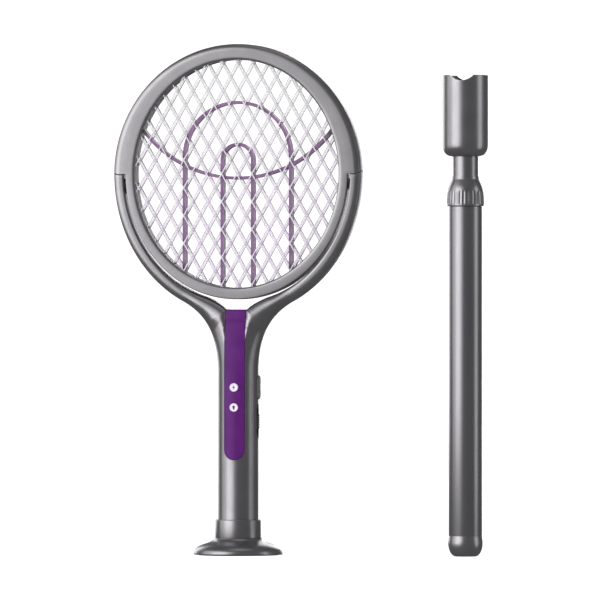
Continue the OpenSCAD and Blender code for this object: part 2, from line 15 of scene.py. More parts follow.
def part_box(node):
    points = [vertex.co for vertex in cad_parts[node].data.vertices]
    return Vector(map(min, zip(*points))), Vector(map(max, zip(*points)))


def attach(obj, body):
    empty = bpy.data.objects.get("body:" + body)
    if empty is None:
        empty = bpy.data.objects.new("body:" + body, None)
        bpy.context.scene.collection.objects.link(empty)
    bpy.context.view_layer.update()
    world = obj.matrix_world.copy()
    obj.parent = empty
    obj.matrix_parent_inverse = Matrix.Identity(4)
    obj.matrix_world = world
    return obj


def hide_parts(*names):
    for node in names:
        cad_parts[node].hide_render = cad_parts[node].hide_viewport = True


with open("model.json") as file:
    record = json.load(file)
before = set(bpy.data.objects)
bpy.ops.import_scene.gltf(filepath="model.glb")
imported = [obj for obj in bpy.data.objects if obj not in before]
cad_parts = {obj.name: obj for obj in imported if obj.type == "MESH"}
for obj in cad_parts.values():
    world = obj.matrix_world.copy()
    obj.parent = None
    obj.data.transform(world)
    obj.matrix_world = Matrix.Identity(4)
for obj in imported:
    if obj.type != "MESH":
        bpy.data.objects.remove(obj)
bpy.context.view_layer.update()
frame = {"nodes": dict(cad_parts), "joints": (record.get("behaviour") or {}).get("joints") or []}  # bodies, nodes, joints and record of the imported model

MM = 0.001
SMOOTH_ANGLE = math.radians(32)


def box_mm(node):
    """Lowest and highest corner of a CAD node, in millimetres."""
    low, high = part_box(node)
    return low / MM, high / MM


def radius_of(node):
    """Half of a CAD node's width."""
    low, high = box_mm(node)
    return (high.x - low.x) / 2


def joint_point(name):
    """The point of a joint's axis, in millimetres."""
    row = next(j for j in frame["joints"] if j["name"] == name)
    return Vector(row["pos_m"]) / MM


# ---------------------------------------------------------------- sizes

RING_LOW, RING_HIGH = box_mm("ring_front_frame")
GRID_LOW, GRID_HIGH = box_mm("hv_mesh")
SEAT = 2.0                                  # how deep the grids sit in the ring's inner wall
HEAD_Z = (GRID_LOW.z + GRID_HIGH.z) / 2
HALF_DEPTH = -RING_LOW.y
RING_W, RING_H = RING_HIGH.x, RING_HIGH.z - HEAD_Z
OPEN_W, OPEN_H = GRID_HIGH.x - SEAT, GRID_HIGH.z - HEAD_Z - SEAT
LOWER_W, LOWER_H = 102.5, HEAD_Z - RING_LOW.z
PIVOT_DROP = HEAD_Z - joint_point("head_tilt").z
TIP_R = 13.5                                # arc of the arm tips about the pivot
TIP_GAP = 0.5
SEAM = 0.06                                 # half of the seam between front and back shells
WALL = 2.0

ARM_W, ARM_H = LOWER_W + 2.1, LOWER_H + 2.3   # inner edge of the fork arms
ARM_END = 62.5                              # where the arms end and the neck begins, in degrees
TIP_ROUND = 0.6
FORK_H = 127.8                              # outer edge of the fork, below the head's centre
NECK_TOP = 113.4                            # depths below the head's centre
SADDLE = 122.0
NECK_FOOT = 178.0
SADDLE_W = 9.5
CROTCH, JOIN = 0.52, 0.66                   # shares of the neck where the saddle starts and ends
ARM_STEPS, NECK_STEPS, GRIP_STEPS = 44, 72, 24
NECK_JOIN = 1 + ARM_STEPS + math.ceil(JOIN * NECK_STEPS)
GRIP_R = box_mm("end_cap")[1].x
GRIP_Z0 = 16.0
GRIP_BORE = GRIP_R + 0.3                    # of the dock's socket and the pole's cup
PIN_R = box_mm("pivot_pins")[1].y
PIN_X0 = 96.4
PIVOT_Z = HEAD_Z - PIVOT_DROP
PANEL_LOW, PANEL_HIGH = box_mm("light_panel")
PANEL_R = PANEL_HIGH.x
PANEL_BACK = -5.1                           # how far in the panel's lip reaches over the saddle
BUTTON_R = 3.75
GRID_Y = -(box_mm("front_mesh")[0].y + box_mm("front_mesh")[1].y) / 2
SEAT_DEPTH = GRID_Y + 0.6
STRAND_PITCH, STRAND_RISE = 14.0, 25.0      # width and height of a diamond
STRAND_COUNT = 17
STRAND_HOLD = 1.5                           # how far the strands run into the ring
OUTER_STRAND, LIVE_STRAND = 1.25, 0.55
POLE_X = (box_mm("cup")[0].x + box_mm("cup")[1].x) / 2


# ---------------------------------------------------------------- mesh helpers

def mesh_object(name, points, faces):
    """A mesh object at the origin from points in millimetres."""
    mesh = bpy.data.meshes.new(name)
    mesh.from_pydata([tuple(Vector(p) * MM) for p in points], [], faces)
    obj = bpy.data.objects.new(name, mesh)
    bpy.context.scene.collection.objects.link(obj)
    return obj


def clean(obj, merge=0.004):
    """Merges doubles, points the faces outwards and smooths all but the sharp edges."""
    bm = bmesh.new()
    bm.from_mesh(obj.data)
    bmesh.ops.remove_doubles(bm, verts=bm.verts, dist=merge * MM)
    bmesh.ops.dissolve_degenerate(bm, edges=bm.edges, dist=merge * MM / 4)
    bmesh.ops.recalc_face_normals(bm, faces=bm.faces)
    bm.to_mesh(obj.data)
    bm.free()
    smooth(obj)
    return obj


def smooth(obj, angle=SMOOTH_ANGLE):
    """Smooth shading, with the edges beyond an angle kept sharp."""
    mesh = obj.data
    mesh.polygons.foreach_set("use_smooth", [True] * len(mesh.polygons))
    mesh.set_sharp_from_angle(angle=angle)
    return obj


def bake(obj):
    """Turns an object's modifiers into its plain mesh."""
    graph = bpy.context.evaluated_depsgraph_get()
    graph.update()
    mesh = bpy.data.meshes.new_from_object(obj.evaluated_get(graph))
    obj.modifiers.clear()
    obj.data = mesh
    return obj


def loft(rings, closed_ring=True, closed_path=False):
    """Points and faces of a skin through rings of equal length."""
    count, size = len(rings), len(rings[0])
    points = [p for ring in rings for p in ring]
    faces = []
    for i in range(count if closed_path else count - 1):
        a, b = i * size, (i + 1) % count * size
        for k in range(size if closed_ring else size - 1):
            m = (k + 1) % size
            faces.append((a + k, a + m, b + m, b + k))
    if not closed_path:
        faces.append(tuple(range(size)))
        faces.append(tuple((count - 1) * size + k for k in range(size)))
    return points, faces


def lathe(name, profile, steps=128, x=0.0):
    """A solid of revolution about a vertical axis. The profile is a closed loop of (radius, z)."""
    rings = [
        [(x + r * math.cos(a), r * math.sin(a), z) for r, z in profile]
        for a in (2 * math.pi * i / steps for i in range(steps))
    ]
    return clean(mesh_object(name, *loft(rings, closed_path=True)))


def arc(centre, radii, start, end, steps):
    """Points of an ellipse arc in (radius, z), angles in degrees."""
    return [
        (centre[0] + radii[0] * math.cos(a), centre[1] + radii[1] * math.sin(a))
        for a in (math.radians(start + (end - start) * i / steps) for i in range(steps + 1))
    ]


def bezier(p0, p1, p2, p3, t):
    """Point at share t of a cubic curve."""
    s = 1 - t
    return tuple(
        s * s * s * a + 3 * s * s * t * b + 3 * s * t * t * c + t * t * t * d
        for a, b, c, d in zip(p0, p1, p2, p3)
    )


def limited(share):
    """A share held between 0 and 1."""
    return min(max(share, 0.0), 1.0)


def eased(share):
    """A share with a soft start and a soft end."""
    share = limited(share)
    return share * share * (3 - 2 * share)


def through(keys, t):
    """A smooth curve through (place, value) keys."""
    n = len(keys)
    i = max(k for k in range(n - 1) if keys[k][0] <= t or k == 0)
    (t0, v0), (t1, v1) = keys[i], keys[i + 1]

    def slope(k):
        """Slope at a key, level at both ends."""
        if k in (0, n - 1):
            return 0.0
        return (keys[k + 1][1] - keys[k - 1][1]) / (keys[k + 1][0] - keys[k - 1][0])

    h = t1 - t0
    u = limited((t - t0) / h)
    return (
        (2 * u**3 - 3 * u**2 + 1) * v0 + (u**3 - 2 * u**2 + u) * h * slope(i)
        + (3 * u**2 - 2 * u**3) * v1 + (u**3 - u**2) * h * slope(i + 1)
    )


def circle(r, steps):
    """Points of a circle about the origin."""
    return [(r * math.cos(a), r * math.sin(a)) for a in (2 * math.pi * i / steps for i in range(steps))]


def x_rod(x0, x1, z, r):
    """Points and faces of a cylinder along X in the middle plane."""
    return loft([[(x, a, z + b) for a, b in circle(r, 48)] for x in (x0, x1)])


def y_rod(x, y0, y1, z, r, steps=48):
    """Points and faces of a cylinder along Y."""
    return loft([[(x + a, y, z + b) for a, b in circle(r, steps)] for y in (y0, y1)])


def stadium(r, z0, z1, steps=16):
    """Outline of a round-ended bar along Z, as (y, z)."""
    top = [(r * math.cos(a), z1 - r + r * math.sin(a))
           for a in (math.pi * i / steps for i in range(steps + 1))]
    low = [(r * math.cos(a), z0 + r + r * math.sin(a))
           for a in (math.pi + math.pi * i / steps for i in range(steps + 1))]
    return top + low


def joined(parts):
    """Several (points, faces) as one."""
    points, faces = [], []
    for more, sides in parts:
        base = len(points)
        points += more
        faces += [tuple(base + k for k in side) for side in sides]
    return points, faces


def cut(obj, parts):
    """Cuts closed shapes out of an object."""
    tool = clean(mesh_object(obj.name + "_tool", *joined(parts)))
    step = obj.modifiers.new("cut", "BOOLEAN")
    step.operation = "DIFFERENCE"
    step.solver = "EXACT"
    step.object = tool
    bake(obj)
    bpy.data.objects.remove(tool)
    return smooth(obj)


def place(obj, body, material, slot, *nodes):
    """Gives a piece its material and its body, and hides the CAD nodes that it stands for."""
    obj.data.materials.clear()
    obj.data.materials.append(material)
    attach(obj, body)
    if nodes:
        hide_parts(*nodes)
    return obj


# ---------------------------------------------------------------- materials

def fill_inputs(tree, node, inputs):
    """Each input takes a plain value or another node's socket."""
    for label, value in inputs.items():
        if isinstance(value, bpy.types.NodeSocket):
            tree.links.new(value, node.inputs[label])
        else:
            node.inputs[label].default_value = value


def add_node(tree, kind, inputs, **settings):
    """A node with its settings and its inputs."""
    node = tree.nodes.new(kind)
    for name, value in settings.items():
        setattr(node, name, value)
    fill_inputs(tree, node, inputs)
    return node


def finish_shader(tree, **inputs):
    """Fills the surface shader's inputs, their names written with _ for a space."""
    labels = {name.replace("_", " "): value for name, value in inputs.items()}
    fill_inputs(tree, tree.nodes["Principled BSDF"], labels)


def new_material(name):
    """A node material and its tree."""
    material = bpy.data.materials.new(name)
    material.use_nodes = True
    return material, material.node_tree


def object_point(tree, scale=None, location=(0, 0, 0)):
    """Object coordinates, stretched and moved if a scale is given."""
    where = add_node(tree, "ShaderNodeTexCoord", {}).outputs["Object"]
    if scale:
        steps = {"Scale": scale, "Location": location, "Vector": where}
        where = add_node(tree, "ShaderNodeMapping", steps).outputs["Vector"]
    return where


def noise(tree, scale, detail=4.0, stretch=None):
    """Noise on Object coordinates, scaled per metre."""
    inputs = {"Scale": scale, "Detail": detail, "Vector": object_point(tree, stretch)}
    return add_node(tree, "ShaderNodeTexNoise", inputs).outputs["Fac"]


def ramp(tree, source, *stops):
    """Colour ramp through (place, colour) stops."""
    node = add_node(tree, "ShaderNodeValToRGB", {"Fac": source})
    elements = node.color_ramp.elements
    for place_at, colour in stops[2:]:
        elements.new(place_at)
    for element, (place_at, colour) in zip(elements, stops):
        element.position = place_at
        element.color = (*colour, 1)
    return node.outputs["Color"]


def spread(tree, source, low, high):
    """Spreads 0 to 1 over another range."""
    inputs = {"Value": source, "To Min": low, "To Max": high}
    return add_node(tree, "ShaderNodeMapRange", inputs).outputs["Result"]


def relief(tree, source, strength, distance):
    """Fine relief; the distance is in metres."""
    inputs = {"Height": source, "Strength": strength, "Distance": distance}
    return add_node(tree, "ShaderNodeBump", inputs).outputs["Normal"]


def satin_paint(name, dark, light, stretch=None):
    """Metallic paint: two close tones, fine flake and a slightly uneven sheen."""
    material, tree = new_material(name)
    finish_shader(
        tree, Metallic=0.9, Coat_Weight=0.12, Coat_Roughness=0.2,
        Base_Color=ramp(tree, noise(tree, 60, 3, stretch), (0.35, dark), (0.65, light)),
        Roughness=spread(tree, noise(tree, 900, 5, stretch), 0.26, 0.35),
        Normal=relief(tree, noise(tree, 9000, 2), 0.06, 0.00004),
    )
    return material


def moulded(name, dark, light, roughness=(0.45, 0.6), bump=0.15, grain=2500, coat=0.0, scale=90):
    """Moulded plastic or rubber with a fine spark-eroded grain."""
    material, tree = new_material(name)
    texture = noise(tree, grain, 6)
    finish_shader(
        tree, Coat_Weight=coat,
        Base_Color=ramp(tree, noise(tree, scale), (0.3, dark), (0.7, light)),
        Roughness=spread(tree, texture, *roughness),
        Normal=relief(tree, texture, bump, 0.00005),
    )
    return material


def bare_metal(name, dark, light, roughness=(0.22, 0.38), scale=1500):
    """Drawn or machined metal with faint tool lines."""
    material, tree = new_material(name)
    lines = noise(tree, scale, 4, (1, 1, 0.05))
    finish_shader(
        tree, Metallic=1.0,
        Base_Color=ramp(tree, lines, (0.3, dark), (0.7, light)),
        Roughness=spread(tree, lines, *roughness),
        Normal=relief(tree, lines, 0.08, 0.00003),
    )
    return material


def violet_panel_material():
    """Tinted light cover: deep violet, a touch redder in clouds, with a fine diffusing texture."""
    material, tree = new_material("violet_panel")
    texture = noise(tree, 4000, 3)
    finish_shader(
        tree, Specular_IOR_Level=0.16, Subsurface_Weight=0.15, Subsurface_Scale=1.0,
        Subsurface_Radius=(0.002, 0.001, 0.003),
        Base_Color=ramp(tree, noise(tree, 70, 3), (0.3, (0.068, 0.005, 0.11)), (0.7, (0.086, 0.008, 0.135))),
        Roughness=spread(tree, texture, 0.3, 0.42),
        Normal=relief(tree, texture, 0.1, 0.00003),
    )
    return material


def grid_metal():
    """Silver grid strands, tinted lilac low in the head by the panel's light."""
    material, tree = new_material("grid_silver")
    split = add_node(tree, "ShaderNodeSeparateXYZ", {"Vector": object_point(tree)})
    height = add_node(tree, "ShaderNodeMapRange", {
        "Value": split.outputs["Z"],
        "From Min": (HEAD_Z - OPEN_H) * MM,
        "From Max": (HEAD_Z + 0.6 * OPEN_H) * MM,
    })
    tint = ramp(tree, height.outputs["Result"],
                (0.0, (0.62, 0.55, 0.66)), (0.5, (0.63, 0.58, 0.66)), (1.0, (0.62, 0.61, 0.63)))
    spots = ramp(tree, noise(tree, 800), (0.3, (0.8, 0.8, 0.8)), (0.7, (1, 1, 1)))
    mix = add_node(tree, "ShaderNodeMix", {"Factor": 0.25, "A": tint, "B": spots},
                   data_type="RGBA", blend_type="MULTIPLY")
    finish_shader(tree, Metallic=0.2, Base_Color=mix.outputs["Result"],
                  Roughness=spread(tree, noise(tree, 2500), 0.32, 0.48))
    return material


def rib_material_with_painted_shade():
    """Violet plastic with painted shade: it darkens to near black where the frame meets the ring's inner
    wall.
    """
    material = moulded("rib_plastic_with_painted_shade", (0.13, 0.06, 0.15), (0.21, 0.1, 0.23), (0.3, 0.45), 0.1)
    tree = material.node_tree
    violet = tree.nodes["Principled BSDF"].inputs["Base Color"].links[0].from_socket
    scale = (1 / (OPEN_W * MM), 0, 1 / (OPEN_H * MM))
    point = object_point(tree, scale, (0, 0, -HEAD_Z / OPEN_H))
    distance = add_node(tree, "ShaderNodeVectorMath", {0: point}, operation="LENGTH")
    # painted shade: a near-black blend at the frame's outer edge, where the ring's inner wall lies in shade
    rim = ramp(tree, distance.outputs["Value"], (0.93, (0, 0, 0)), (0.965, (1, 1, 1)))
    mix = add_node(tree, "ShaderNodeMix", {"Factor": rim, "A": violet, "B": (0.045, 0.04, 0.048, 1)},
                   data_type="RGBA")
    finish_shader(tree, Base_Color=mix.outputs["Result"])
    return material


GUNMETAL = satin_paint("gunmetal_paint", (0.27, 0.262, 0.275), (0.3, 0.292, 0.305))
TUBE_PAINT = satin_paint("tube_paint", (0.25, 0.243, 0.255), (0.28, 0.272, 0.285), stretch=(1, 1, 0.1))
DARK_PLASTIC = moulded("dark_plastic", (0.02, 0.02, 0.022), (0.03, 0.03, 0.033))
BLACK_RUBBER = moulded("black_rubber", (0.018, 0.018, 0.019), (0.028, 0.028, 0.03), (0.65, 0.85), 0.3, 1800)
TRIGGER_RUBBER = moulded("trigger_rubber", (0.07, 0.068, 0.072), (0.09, 0.088, 0.092), (0.4, 0.55), 0.2)
RIB_PLASTIC = rib_material_with_painted_shade()
BOARD_GREEN = moulded("board_green", (0.01, 0.11, 0.05), (0.015, 0.16, 0.075), (0.25, 0.4), 0.1, 1200,
                      coat=0.3, scale=500)
BOARD_WHITE = moulded("board_white", (0.68, 0.68, 0.66), (0.76, 0.76, 0.74), (0.3, 0.45), 0.08)
TAPE_YELLOW = moulded("tape_yellow", (0.62, 0.4, 0.06), (0.7, 0.48, 0.08), (0.35, 0.5), 0.1, 900)
FILM_BLUE = moulded("film_blue", (0.015, 0.05, 0.25), (0.02, 0.07, 0.32), (0.2, 0.35), 0.05, 1200, 0.4)
SLEEVE_TEAL = moulded("sleeve_teal", (0.05, 0.2, 0.26), (0.06, 0.24, 0.31), (0.2, 0.3), 0.04, 600, 0.4)
LEAD_RED = moulded("lead_red", (0.4, 0.02, 0.015), (0.5, 0.03, 0.02), (0.4, 0.5), 0.08)
GUIDE_WHITE = moulded("guide_white", (0.66, 0.66, 0.64), (0.74, 0.74, 0.72))
BUTTON_PALE = moulded("button_pale", (0.62, 0.55, 0.7), (0.7, 0.63, 0.77), (0.3, 0.42), 0.05)
BUTTON_INK = moulded("button_ink", (0.03, 0.02, 0.045), (0.05, 0.03, 0.06), (0.4, 0.5), 0.05)
LED_CLEAR = moulded("led_clear", (0.7, 0.66, 0.8), (0.8, 0.76, 0.88), (0.1, 0.2), 0.02, 800, 0.5)
BRIGHT_STEEL = bare_metal("bright_steel", (0.6, 0.6, 0.61), (0.74, 0.74, 0.75))
GOLD_CONTACT = bare_metal("gold_contact", (0.72, 0.5, 0.18), (0.85, 0.62, 0.25))
WEIGHT_STEEL = bare_metal("weight_steel", (0.2, 0.2, 0.2), (0.3, 0.3, 0.3), (0.45, 0.65), scale=400)
VIOLET_PANEL = violet_panel_material()
GRID_SILVER = grid_metal()

KEPT_NODES = {
    "dock_pad": BLACK_RUBBER, "dock_base_plate": DARK_PLASTIC, "dock_weight": WEIGHT_STEEL,
    "dock_charge_board": BOARD_GREEN, "dock_contact_pins": GOLD_CONTACT, "usb_c_inlet": BRIGHT_STEEL,
    "dock_screws": BRIGHT_STEEL, "end_cap": DARK_PLASTIC, "charge_contacts": GOLD_CONTACT,
    "light_board": BOARD_WHITE, "panel_leds": LED_CLEAR, "main_board": BOARD_GREEN,
    "hv_transformer": TAPE_YELLOW, "hv_capacitor": FILM_BLUE, "battery_cell": SLEEVE_TEAL,
    "battery_contacts": BRIGHT_STEEL, "control_switches": DARK_PLASTIC, "slider_frame": DARK_PLASTIC,
    "hv_leads": LEAD_RED, "handle_screws": BRIGHT_STEEL, "pivot_bushes": DARK_PLASTIC,
    "detent_springs": BRIGHT_STEEL, "pivot_pins": BRIGHT_STEEL, "contact_tabs": GOLD_CONTACT,
    "ring_screws": BRIGHT_STEEL, "lock_collet": DARK_PLASTIC, "tube_guide": GUIDE_WHITE,
    "cup_pin": BRIGHT_STEEL, "front_rib_frame": RIB_PLASTIC, "back_rib_frame": RIB_PLASTIC,
}


def dress_kept_nodes():
    """Materials of the CAD pieces that are shown as they are."""
    for node, material in KEPT_NODES.items():
        obj = frame["nodes"][node]
        obj.data.materials.clear()
        obj.data.materials.append(material)


# ---------------------------------------------------------------- ring

def outer_round(width, depth, reach, drop):
    """Curve from the face round to the outer wall, as (across, depth)."""
    return [(width - reach + reach * math.sin(a), depth - drop + drop * math.cos(a))
            for a in (math.pi / 2 * i / 8 for i in range(9))]


def inner_round(depth, reach, drop):
    """Curve from the inner wall round to the face, as (across, depth)."""
    return [(reach - reach * math.cos(a), depth - drop + drop * math.sin(a))
            for a in (math.pi / 2 * i / 4 for i in range(5))]


def tip_height(depth, radius):
    """Height of the arc about the pivot at a depth, from the head's centre."""
    return math.sqrt(radius * radius - depth * depth) - PIVOT_DROP


def ring_station(angle, upper, at_step, side):
    """One section of a ring frame."""
    full_w, full_h = (RING_W, RING_H) if upper else (LOWER_W, LOWER_H)
    reach, drop = (5.9, 3.7) if upper else (0.9, 0.8)
    inner = Vector((OPEN_W * math.cos(angle), OPEN_H * math.sin(angle)))
    outer = Vector((full_w * math.cos(angle), full_h * math.sin(angle)))
    width = (outer - inner).length
    across = (outer - inner).normalized()
    face_end = LOWER_W - OPEN_W - 0.9 if upper else width - reach
    start = [(SEAT, SEAM), (SEAT, SEAT_DEPTH), (0, SEAT_DEPTH)]
    face = [(4.0, HALF_DEPTH), (face_end, HALF_DEPTH)]
    end = outer_round(width, HALF_DEPTH, reach, drop) + [(width, SEAM)]
    section = start + inner_round(HALF_DEPTH, 2.4, 1.5) + face + end
    ring = []
    for k, (n, depth) in enumerate(section):
        p = inner + across * n
        lift = 0.0
        if at_step and k >= len(section) - len(end):
            lift = tip_height(depth, TIP_R + TIP_GAP)
        ring.append((p.x, side * depth, HEAD_Z + p.y + lift))
    return ring


def ring_frame(name, side, wells=()):
    """One half of the ring, with its screws' wells. side is -1 in front and 1 behind."""
    steps = 96
    rings = []
    for upper, start in ((True, 0.0), (False, math.pi)):
        for i in range(steps + 1):
            rings.append(ring_station(start + math.pi * i / steps, upper, i in (0, steps), side))
    obj = clean(mesh_object(name, *loft(rings, closed_path=True)))
    pin_start, past_ring = PIN_X0 - 0.3, 120
    for x0, x1 in ((pin_start, past_ring), (-past_ring, -pin_start)):
        cut(obj, [x_rod(x0, x1, PIVOT_Z, PIN_R + 0.02)])
    if wells:
        cut(obj, [y_rod(x, floor, 20, z, 2.35, 32) for x, z, floor in wells])
    return obj


def screw_places(node, behind):
    """The middle (x, z) of each screw head of a CAD node, from its points behind a depth."""
    heads = []
    for v in frame["nodes"][node].data.vertices:
        p = v.co / MM
        if p.y > behind:
            head = next((h for h in heads if math.hypot(h[0].x - p.x, h[0].z - p.z) < 6), None)
            if head:
                head.append(p)
            else:
                heads.append([p])
    spans = [([p.x for p in head], [p.z for p in head]) for head in heads]
    return [((min(xs) + max(xs)) / 2, (min(zs) + max(zs)) / 2) for xs, zs in spans]


# ---------------------------------------------------------------- fork, neck and grip

def inner_edge(v, inset):
    """Inner edge of the neck from the arm down past the saddle to the middle line."""
    wide, tall, low = ARM_W + inset, ARM_H + inset, -SADDLE - inset
    arm_end, bend_start = math.radians(ARM_END), math.acos(30 / ARM_W)
    if v < 0.28:
        a = arm_end + (bend_start - arm_end) * v / 0.28
        return wide * math.cos(a), -tall * math.sin(a)
    if v < CROTCH:
        start = wide * math.cos(bend_start), -tall * math.sin(bend_start)
        t = (v - 0.28) / (CROTCH - 0.28)
        return bezier(start, (21, -NECK_TOP - inset), (11.5, -119 - inset), (SADDLE_W, low), t)
    if v < JOIN:
        return SADDLE_W * (1 - (v - CROTCH) / (JOIN - CROTCH)), low
    return 0.0, low - (NECK_FOOT + low) * (v - JOIN) / (1 - JOIN)


def outer_edge(v, inset):
    """Outer edge of the neck from the fork's oval to the grip."""
    top_w = (RING_W - inset) * math.sqrt(1 - (NECK_TOP / FORK_H) ** 2)
    slope = math.radians(30)
    t = through([(0, 0), (0.35, 0.33), (CROTCH, 0.52), (JOIN, 0.64), (1, 1)], v)
    t = limited(t)
    foot = GRIP_R - inset
    return bezier((top_w, -NECK_TOP), (top_w - 20 * math.cos(slope), -NECK_TOP - 20 * math.sin(slope)),
                  (foot, -NECK_FOOT + 40), (foot, -NECK_FOOT), t)


def neck_form(v):
    """Half-depth and the four rounding sizes of a section, as shares of its width and depth."""
    half_depth = through([(0, 9.2), (0.35, 10.9), (CROTCH, 12.4), (JOIN, 13.9), (1, GRIP_R)], v)
    reach_out = through([(0, 0.54), (0.35, 0.5), (JOIN, 0.68), (1, 1.0)], v)
    drop_out = through([(0, 0.5), (0.2, 0.85), (0.35, 0.97), (JOIN, 0.985), (1, 0.995)], v)
    reach_in = min(through([(0, 0.42), (0.35, 0.5), (CROTCH, 0.42), (1, 0.3)], v), 1 - reach_out)
    drop_in = through([(0, 0.36), (0.2, 0.52), (0.35, 0.56), (CROTCH, 0.48), (1, 0.3)], v)
    return half_depth, reach_out, drop_out, reach_in, drop_in


def rounding(share):
    """Quarter-round: 1 at the edge, 0 once the share of its reach is used up."""
    share = limited(share)
    return 1 - math.sqrt(1 - (1 - share) ** 2)


def scoop(x, z):
    """Depth of the hollow in which the upper end of the light panel lies."""
    fade = 1 - eased((-z - 116) / 36)
    return 5.4 * fade * rounding((abs(x) - PANEL_R) / (1.2 + 8.5 * fade))


def fork_section(width, form, k, inset):
    """Half section of the fork: places across it, and the depth before any scoop."""
    steps = 9
    depth, reach_out, drop_out, reach_in, drop_in = form
    a_out, a_in = reach_out * width, max(reach_in * width, 0.01)
    b_out, b_in = drop_out * depth, drop_in * depth * (1 - k)
    depth -= inset
    b_out = min(b_out, depth - SEAM - 0.02)
    places = [a_out * (1 - math.cos(math.pi / 2 * i / steps)) for i in range(steps + 1)]
    count = steps + 3
    hollow = min(21.0, 0.96 * width)
    for i in range(count):
        share = i / (count - 1)
        at_arm = width - a_in + a_in * math.sin(math.pi / 2 * share)
        at_panel = width - hollow * (1 - share)
        places.append(at_arm + (at_panel - at_arm) * k)
    points = [(0.0, SEAM)]
    for n in sorted(places):
        y = depth - b_out * rounding(n / a_out) - b_in * rounding((width - n) / a_in)
        points.append((n, y))
    points.append((width, SEAM))
    return points


def section_ring(inner, outer, form, k, side, inset, drop=None):
    """Points of one section between two edges. At the tip it lies `drop` below the arc about the pivot."""
    width = (outer - inner).length
    across = (inner - outer).normalized()
    deep = k if side < 0 else 0.4 * k
    ring = []
    for n, depth in fork_section(width, form, k, inset):
        p = outer + across * n
        lift = 0.0 if drop is None else tip_height(depth, TIP_R) - drop
        if depth > SEAM:
            depth = max(depth - deep * scoop(p.x, p.y), SEAM + 0.02)
        ring.append((p.x, side * depth, HEAD_Z + p.y + lift))
    return ring


def half_skin(side, inset):
    """Rings of the right half of a skin, from the arm's tip to the end of the grip."""
    rings = []
    arm_form = (HALF_DEPTH, 0.6, 0.41, 0.13, 0.12)
    for i in range(ARM_STEPS + 1):
        share = i / ARM_STEPS
        a, blend = math.radians(ARM_END) * share, share**3
        form = tuple(x + (y - x) * blend for x, y in zip(arm_form, neck_form(0)))
        inner = Vector(((ARM_W + inset) * math.cos(a), -(ARM_H + inset) * math.sin(a)))
        far = a + (math.asin(NECK_TOP / FORK_H) - math.radians(ARM_END)) * blend
        outer = Vector(((RING_W - inset) * math.cos(far), -(FORK_H - inset * (1 - blend)) * math.sin(far)))
        if i == 0:
            across = (outer - inner).normalized() * TIP_ROUND
            small = (form[0] - TIP_ROUND,) + form[1:]
            rings.append(section_ring(inner + across, outer - across, small, 0.0, side, inset, 0.0))
        drop = TIP_ROUND if i == 0 else None
        rings.append(section_ring(inner, outer, form, 0.0, side, inset, drop))
    for i in range(1, NECK_STEPS + 1):
        v = i / NECK_STEPS
        k = eased((v - 0.44) / 0.2)
        inner, outer = Vector(inner_edge(v, inset)), Vector(outer_edge(v, inset))
        rings.append(section_ring(inner, outer, neck_form(v), k, side, inset))
    for i in range(1, GRIP_STEPS + 1):
        z = -NECK_FOOT - (HEAD_Z - NECK_FOOT - GRIP_Z0) * i / GRIP_STEPS
        ends = Vector((0, z)), Vector((GRIP_R - inset, z))
        rings.append(section_ring(*ends, neck_form(1), 1.0, side, inset))
    return rings


def skin_faces(rings, first, base):
    """Faces of a skin from its ring number `first` on; the tip is closed."""
    size = len(rings[0])
    faces = []
    for i in range(first, len(rings) - 1):
        for k in range(size - 2 if i >= NECK_JOIN else size - 1):
            a, b = base + i * size, base + (i + 1) * size
            faces.append((a + k, a + k + 1, b + k + 1, b + k))
    tip = base + first * size
    faces += [(tip + k, tip + k + 1, tip + size - 2 - k, tip + size - 1 - k) for k in range(size // 2 - 1)]
    return faces


def handle_shell(name, side):
    """Front or back shell of the racket: both arms, the neck and the grip, with solid arm tips."""
    start = 4
    outside, inside = half_skin(side, 0.0), half_skin(side, WALL)
    size, count = len(outside[0]), len(outside)
    points = [p for ring in outside + inside for p in ring]
    base = count * size
    faces = skin_faces(outside, 0, 0) + skin_faces(inside, start, base)
    for i in range(start):
        a, b = i * size, (i + 1) * size
        middle = [] if i < start - 1 else [base + b, base + b + size - 1]
        faces.append(tuple([a, b] + middle + [b + size - 1, a + size - 1]))
    for i in range(start, count - 1):
        a, b = i * size, (i + 1) * size
        faces.append((a, b, base + b, base + a))
        if i < NECK_JOIN:
            faces.append((a + size - 1, b + size - 1, base + b + size - 1, base + a + size - 1))
    last = (count - 1) * size
    faces += [(last + k, last + k + 1, base + last + k + 1, base + last + k) for k in range(size - 2)]
    skin = [Vector((sign * x, y, z)) * MM for sign in (1, -1) for x, y, z in points[:base]]
    skin_sides = skin_faces(outside, 0, 0)
    tree = BVHTree.FromPolygons(skin, skin_sides + [tuple(base + k for k in side) for side in skin_sides])
    mirrored = [(-x, y, z) for x, y, z in points]
    faces += [tuple(len(points) + k for k in face) for face in faces]
    obj = mesh_object(name, points + mirrored, faces)
    bm = bmesh.new()
    bm.from_mesh(obj.data)
    bmesh.ops.delete(bm, geom=[v for v in bm.verts if not v.link_faces], context="VERTS")
    bm.to_mesh(obj.data)
    bm.free()
    return clean(obj), tree


def depth_of_skin(skin, x, z):
    """Y of the front skin at a place, in millimetres."""
    hit = skin.ray_cast(Vector((x + 0.003, -60, z)) * MM, Vector((0, 1, 0)))[0]
    return hit.y / MM if hit else None



